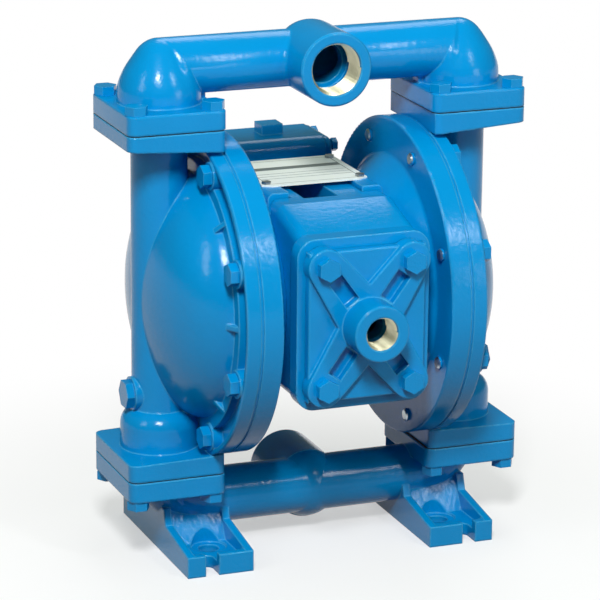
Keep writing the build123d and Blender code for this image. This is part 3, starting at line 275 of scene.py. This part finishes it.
# %% [markdown]
# ## The name plate
# The plate is thin sheet, sprayed off white and screen printed. Here it carries no words: only
# the printed frame, a plain band and the ruled lines of an empty form. The frame is a box of
# distances from the plate's middle, worked out in the material, so no picture is needed.

# %% Name plate finish
plate_low, plate_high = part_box("name_plate")


def printed_plate(tree, place):
    """Off-white sheet with a printed frame, one plain band and ruled lines."""
    middle = (plate_low + plate_high) / 2
    half = (plate_high - plate_low) / 2
    centred = add(tree, "ShaderNodeVectorMath", {0: place, 1: middle}, operation="SUBTRACT")
    split = add(tree, "ShaderNodeSeparateXYZ", {0: centred.outputs["Vector"]})

    def stroke(axis, at_mm, wide_mm):
        """1 on a stripe across one axis."""
        away = add(tree, "ShaderNodeMath", {0: split.outputs[axis], 1: at_mm * millimetre},
                   operation="SUBTRACT")
        near = add(tree, "ShaderNodeMath", {0: away.outputs["Value"]}, operation="ABSOLUTE")
        return add(tree, "ShaderNodeMath", {0: near.outputs["Value"], 1: wide_mm * millimetre / 2},
                   operation="LESS_THAN").outputs["Value"]

    def joined(first, second, operation):
        return add(tree, "ShaderNodeMath", {0: first, 1: second}, operation=operation).outputs["Value"]

    def field(margin_mm):
        """1 inside a rectangle that keeps this far from every edge of the plate."""
        wide, deep = 2 * (half.x / millimetre - margin_mm), 2 * (half.y / millimetre - margin_mm)
        return joined(stroke("X", 0, wide), stroke("Y", 0, deep), "MULTIPLY")

    frame_margin_mm, frame_line_mm = 4, 0.6
    band_mm = (9, 7)
    rules_mm = ((-4, 0.7), (-10, 0.7), (-16, 0.7))
    inside = field(frame_margin_mm + frame_line_mm)
    ink = joined(field(frame_margin_mm), inside, "SUBTRACT")
    for at_mm, wide_mm in (band_mm, *rules_mm):
        line = joined(stroke("Y", at_mm, wide_mm), inside, "MULTIPLY")
        ink = joined(ink, line, "MAXIMUM")
    wash = add(tree, "ShaderNodeTexNoise", {"Vector": place, "Scale": per_metre(14), "Detail": 3.0})
    sheet = add(tree, "ShaderNodeMix", {"Factor": wash.outputs["Fac"], "A": linear("f6fbf2"),
                                        "B": linear("eaf2e6")}, data_type="RGBA")
    printed = add(tree, "ShaderNodeMix", {"Factor": ink, "A": sheet.outputs[2], "B": linear("6a7470")},
                  data_type="RGBA")
    wave = add(tree, "ShaderNodeTexNoise", {"Vector": place, "Scale": per_metre(25), "Detail": 1.0})
    bumps = add(tree, "ShaderNodeBump", {"Height": wave.outputs["Fac"], "Strength": 0.3,
                                         "Distance": 0.4 * millimetre})
    gloss = add(tree, "ShaderNodeMapRange", {"Value": wash.outputs["Fac"], "To Min": 0.3, "To Max": 0.45})
    made = add(tree, "ShaderNodeBsdfPrincipled",
               {"Base Color": printed.outputs[2], "Roughness": gloss.outputs["Result"],
                "Normal": bumps.outputs["Normal"], "IOR": 1.5})
    return made.outputs["BSDF"]


plate_paint = finish("screen_printed_sheet", printed_plate)
print("plate in mm:", [round(v / millimetre, 1) for v in plate_high - plate_low])

# %% [markdown]
# ## Putting the finishes on
# Every part of the model says what it is made of. The screws, bolts and plugs that were sprayed
# with the castings take the enamel with the tighter edge, because a bolt head is sharper than a
# casting.

# %% Finish each part
finishes = {"blue_paint": casting_paint, "black_rubber": black_rubber, "white_rubber": white_rubber,
            "steel": steel, "bronze": bronze, "aluminium": aluminium, "black_plastic": black_plastic,
            "plate_metal": plate_paint}
for name, part in frame["nodes"].items():
    chosen = finishes[slot_of[name]]
    if name.startswith("chamber_bolts"):
        chosen = ring_bolt_paint
    elif name in ("diaphragm_left", "diaphragm_right"):
        chosen = diaphragm_rubber
    elif chosen is casting_paint and any(word in name for word in ("bolts", "screws", "plug")):
        chosen = bolt_paint
    part.data.materials.clear()
    part.data.materials.append(chosen)
print("finished parts:", len(frame["nodes"]))

# %% [markdown]
# ## The discharge elbows
# The solid model draws each elbow as a straight collar under a dome. A cast elbow is leaner: the
# pattern maker carries the pipe's own width down and lets it flare to the flange, so its outline
# runs down at a slant. Drawing it anew would lose the bores and bolt holes, so a copy of the
# solid part is reshaped. The collar is cut into bands, and each band is drawn towards the
# elbow's upright axis by a share that grows towards the crown, where 0.70 of the width is left.
# Towards the pipe the bands move only along it, which keeps the pipe round.

# %% Flare the elbows
manifold_low, manifold_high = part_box("discharge_manifold")
elbow_x = sum(v.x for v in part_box("discharge_ball_right")) / 2
flange_thickness = 12.2 * millimetre
port_above_pipe = 5.3 * millimetre
collar_radius = 26.5 * millimetre
collar_blend = 1.5 * millimetre
crown_share = 0.70
flare_starts_mm, flare_ends_mm = 7, 34
pipe_side_cosine, open_side_cosine = -0.78, -0.35
flange_top = manifold_low.z + flange_thickness
crown = manifold_high.z - port_above_pipe
band_heights_mm = (3, 6, 9, 12, 15, 18)
print("elbow from flange to crown in mm:", round((crown - flange_top) / millimetre, 1))


def eased(low, high, value):
    """0 below low, 1 above high, and a smooth step between."""
    share = min(max((value - low) / (high - low), 0), 1)
    return share * share * (3 - 2 * share)


def flare(point):
    """Draw one point of an elbow towards the elbow's axis."""
    side = 1 if point.x > 0 else -1
    out, across = side * point.x - elbow_x, point.y
    radius = (out * out + across * across) ** 0.5
    if point.z < flange_top or radius > collar_radius + collar_blend or radius == 0:
        return
    below_crown_mm = (crown - point.z) / millimetre
    width = crown_share + (1 - crown_share) * eased(flare_starts_mm, flare_ends_mm, below_crown_mm)
    away_from_pipe = eased(pipe_side_cosine, open_side_cosine, out / radius)
    point.x = side * (elbow_x + out * width)
    point.y = across * (1 - (1 - width) * away_from_pipe)


def flared_manifold():
    """A copy of the solid manifold, cut into bands round its collars and flared."""
    bpy.ops.object.select_all(action="DESELECT")
    solid = frame["nodes"]["discharge_manifold"]
    piece = solid.copy()
    piece.data = solid.data.copy()
    piece.name = piece.data.name = "cast_discharge_manifold"
    bpy.context.scene.collection.objects.link(piece)
    piece.select_set(True)
    bpy.context.view_layer.objects.active = piece
    bpy.ops.mesh.customdata_custom_splitnormals_clear()
    bpy.ops.object.mode_set(mode="EDIT")
    bpy.ops.mesh.select_all(action="SELECT")
    bpy.ops.mesh.remove_doubles(threshold=1e-6)
    for height_mm in band_heights_mm:
        bpy.ops.mesh.select_all(action="SELECT")
        bpy.ops.mesh.bisect(plane_co=(0, 0, flange_top + height_mm * millimetre), plane_no=(0, 0, 1))
    bpy.ops.object.mode_set(mode="OBJECT")
    for vertex in piece.data.vertices:
        flare(vertex.co)
    bpy.ops.object.shade_smooth_by_angle(angle=radians(32))
    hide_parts("discharge_manifold")
    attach(piece, "pump_body")
    print(piece.name, "faces:", len(piece.data.polygons))
    return piece


flared_manifold()

# %% [markdown]
# ## Cut pipe threads
# The model's ports are plain bores. A real port has a thread: a V-shaped ridge that winds down
# the bore, 11.5 turns to the inch in the one-inch ports and 14 in the half-inch air inlet.
# A small trapezium is drawn beside the axis, and the Screw modifier winds it round, one pitch
# deeper with each turn. Its ends are closed and its faces turned outwards afterwards.

# %% Pipe threads
def pipe_thread(name, port, turns_per_inch):
    """A thread ridge in one port, from just inside its mouth."""
    mouth, inward = Vector(mounts[port]["pos_m"]), -Vector(mounts[port]["axis"])
    radius = mounts[port]["dims"]["r_mm"] * millimetre
    length = mounts[port]["dims"]["length_mm"] * millimetre
    pitch = 25.4 * millimetre / turns_per_inch
    turns = int(length / pitch) - 2
    height = 0.7 * pitch
    sunk_in_wall = 0.05 * millimetre
    root_share, crest_share = 0.92, 0.15
    bpy.ops.object.select_all(action="DESELECT")
    bpy.ops.mesh.primitive_plane_add(size=pitch, location=(radius - height / 2, 0, 0))
    ridge = bpy.context.object
    ridge.name = name
    bpy.ops.object.transform_apply(location=True)
    for corner in ridge.data.vertices:
        at_root = corner.co.x > radius - height / 2
        corner.co.x = radius + sunk_in_wall if at_root else radius - height
        corner.co.y *= root_share if at_root else crest_share
    winding = ridge.modifiers.new("winding", "SCREW")
    winding.axis = "Y"
    winding.steps = winding.render_steps = 48
    winding.iterations = turns
    winding.screw_offset = pitch * (1 if inward.y > 0 else -1)
    winding.use_merge_vertices = False
    bpy.ops.object.modifier_apply(modifier=winding.name)
    ridge.location = mouth + inward * pitch
    bpy.ops.object.transform_apply(location=True)
    bpy.ops.object.mode_set(mode="EDIT")
    bpy.ops.mesh.select_all(action="SELECT")
    bpy.ops.mesh.remove_doubles(threshold=1e-7)
    bpy.ops.mesh.fill_holes(sides=4)
    bpy.ops.mesh.normals_make_consistent(inside=False)
    bpy.ops.object.mode_set(mode="OBJECT")
    ridge.data.materials.append(thread_metal)
    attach(ridge, "pump_body")
    print(name, "turns:", turns, "faces:", len(ridge.data.polygons))
    return ridge


pipe_thread("discharge_port_thread", "discharge_port", 11.5)
pipe_thread("suction_port_thread", "suction_port", 11.5)
pipe_thread("air_inlet_thread", "air_inlet", 14)

# %% [markdown]
# ## The studio
# A softbox high at the front left and a narrow strip at the front right draw the long soft
# highlights of gloss paint. A slim lamp from the left, a low one from the right and a wide one high
# behind keep the other sides readable. Light that bounces off a white floor would lift every
# underside, so rays that carry bounced light meet a greyer floor than the eye does. The floor
# is paper near the pump, where it takes the shadow, and glows plain white further out.

# %% Floor and lamps
def studio_paper(tree, place):
    """Pale paper that keeps the shadow near the pump and fades to plain white further out."""
    ray = add(tree, "ShaderNodeLightPath")
    seen = add(tree, "ShaderNodeMath", {0: ray.outputs["Is Camera Ray"], 1: ray.outputs["Is Glossy Ray"]},
               operation="MAXIMUM")
    seen = add(tree, "ShaderNodeMath", {0: seen.outputs["Value"], 1: ray.outputs["Is Transmission Ray"]},
               operation="MAXIMUM")
    grain = add(tree, "ShaderNodeTexNoise", {"Vector": place, "Scale": per_metre(60)})
    pale = add(tree, "ShaderNodeMix", {"Factor": grain.outputs["Fac"], "A": linear("fbfbfb"),
                                       "B": linear("f6f7f7")}, data_type="RGBA")
    tone = add(tree, "ShaderNodeMix", {"Factor": seen.outputs["Value"], "A": linear("38505a"),
                                       "B": pale.outputs[2]}, data_type="RGBA")
    paper = add(tree, "ShaderNodeBsdfDiffuse", {"Color": tone.outputs[2]})
    reach = add(tree, "ShaderNodeVectorMath", {0: place}, operation="LENGTH")
    fade = add(tree, "ShaderNodeMapRange", {"Value": reach.outputs["Value"], "From Min": 0.10,
                                            "From Max": 0.40, "To Min": 0.50, "To Max": 1.0},
               interpolation_type="SMOOTHSTEP")
    lit = add(tree, "ShaderNodeMath", {0: fade.outputs["Result"], 1: seen.outputs["Value"]},
              operation="MULTIPLY")
    glow = add(tree, "ShaderNodeEmission", {"Color": linear("ffffff"), "Strength": 1.0})
    both = add(tree, "ShaderNodeMixShader", {0: lit.outputs["Value"], 1: paper.outputs["BSDF"],
                                             2: glow.outputs["Emission"]})
    return both.outputs["Shader"]


def studio_floor():
    """A wide flat floor that belongs to the stage, not to the pump."""
    bpy.ops.object.select_all(action="DESELECT")
    bpy.ops.mesh.primitive_plane_add(size=16, location=(0, 0, 0))
    floor = bpy.context.object
    floor.name = "studio_floor"
    floor.data.materials.append(finish("matt_studio_paper", studio_paper))
    return floor


def softbox(name, place, aim, width, height, watts):
    """A rectangular lamp at a place, turned towards a point."""
    lamp = bpy.data.lights.new(name, "AREA")
    lamp.shape, lamp.size, lamp.size_y, lamp.energy = "RECTANGLE", width, height, watts
    holder = bpy.data.objects.new(name, lamp)
    holder.location = place
    holder.rotation_euler = (Vector(aim) - Vector(place)).to_track_quat("-Z", "Y").to_euler()
    bpy.context.scene.collection.objects.link(holder)
    return holder


studio_floor()
middle = Vector((0, 0, 0.17))
softbox("key_high", (-0.6, -1.3, 1.5), middle, 0.3, 0.45, 31)
softbox("strip_right", (0.68, -1.33, 1.35), middle, 0.12, 0.5, 5.5)
softbox("rim_left", (-1.6, -0.5, 1.1), middle, 0.3, 0.8, 5)
softbox("fill_right", (1.2, -1.8, 0.5), middle, 0.6, 0.6, 5)
softbox("back_high", (0.6, 1.1, 1.75), middle, 0.9, 0.9, 9)
world = bpy.context.scene.world or bpy.data.worlds.new("studio")
bpy.context.scene.world = world
world.use_nodes = True
room = world.node_tree.nodes["Background"]
room.inputs["Color"].default_value = linear("cfe8c4")
room.inputs["Strength"].default_value = 0.20
bpy.context.scene.view_settings.view_transform = "Standard"

# %% [markdown]
# ## The camera
# The pump is seen from its front left, a little from above, with a long lens from over two
# metres away, which keeps upright edges nearly parallel.

# %% Camera
def product_camera():
    """A long lens with a slight roll, and a small shift that centres the pump."""
    eye, aim, roll = Vector((-0.74539, -1.89035, 0.74847)), Vector((0, 0, 0.1516)), radians(0.61)
    look = (aim - eye).normalized()
    right = look.cross(Vector((0, 0, 1))).normalized()
    up = right.cross(look)
    across = right * cos(roll) + up * sin(roll)
    upward = up * cos(roll) - right * sin(roll)
    lens = bpy.data.cameras.new("product_camera")
    lens.sensor_width, lens.lens = 36.0, 196.5
    lens.shift_x, lens.shift_y = -0.0137, 0.0093
    camera = bpy.data.objects.new("product_camera", lens)
    camera.matrix_world = Matrix((across, upward, -look)).transposed().to_4x4()
    camera.location = eye
    bpy.context.scene.collection.objects.link(camera)
    bpy.context.scene.camera = camera
    return camera


camera = product_camera()
print("camera to pump in m:", round((camera.location - middle).length, 3))
